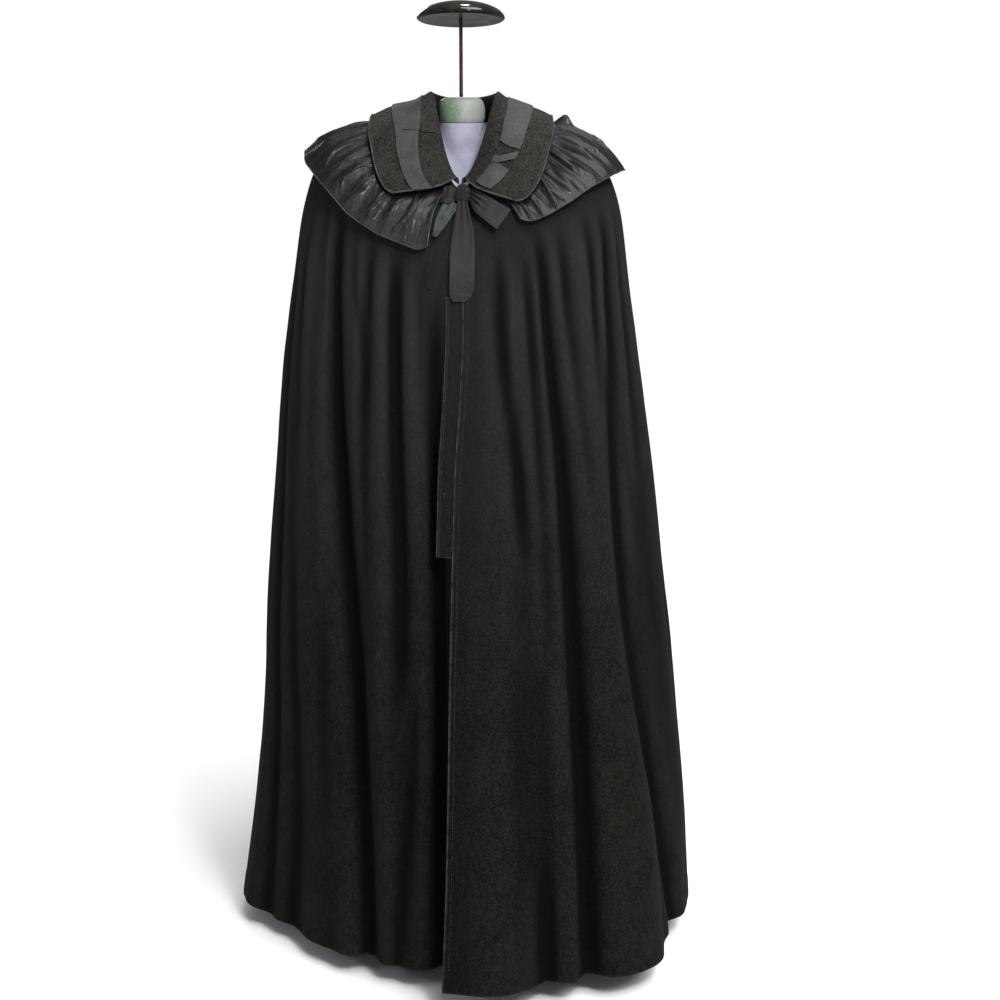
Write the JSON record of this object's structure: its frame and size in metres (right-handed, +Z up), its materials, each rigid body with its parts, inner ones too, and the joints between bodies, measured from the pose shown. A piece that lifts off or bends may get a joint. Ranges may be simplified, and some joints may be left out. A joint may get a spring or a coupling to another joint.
{
  "type": "wool cloak on a dress form",
  "caption": "Full-length black wool cloak with a wide collar, gathered satin flounce and ribbon tie, worn by a limbless dress form on a pole with a round base.",
  "frame": {"origin": "centre of the round base's underside, on the pole's axis", "axes": "+Z up along the pole, -Y out of the cloak's front opening, +X to the wearer's left"},
  "size_m": [0.8401, 0.7206, 1.642],
  "materials": {
    "wool": "black wool melton, short matt nap",
    "collar_wool": "black-brown wool, brushed nap",
    "grosgrain": "faded black grosgrain ribbon, fine cross ribs",
    "satin": "black satin, glossy",
    "ribbon": "black ribbon, soft sheen",
    "form_cloth": "pale lavender-grey cloth cover",
    "cap_paint": "worn pale grey-green paint",
    "rod_metal": "dark red-brown lacquer",
    "disc_paint": "glossy near-black enamel",
    "stand_paint": "satin black paint"
  },
  "bodies": {
    "root": {"front_right": "wool", "front_left": "wool", "back": "wool", "fly_strip": "wool", "collar": "collar_wool", "ribbon_right": "grosgrain", "ribbon_left": "grosgrain", "ribbon_left_end": "grosgrain", "ruffle": "satin", "bow_knot": "ribbon", "bow_loop": "ribbon", "bow_ribbon": "ribbon", "bow_tail_short": "ribbon", "bow_tail_hanging": "ribbon", "bow_tail_side": "ribbon", "form_torso": "form_cloth", "form_neck": "form_cloth", "neck_cap": "cap_paint", "neck_pin": "cap_paint", "hat_rod": "rod_metal", "hat_disc": "disc_paint", "pole": "stand_paint", "base": "stand_paint"}
  },
  "joints": []
}
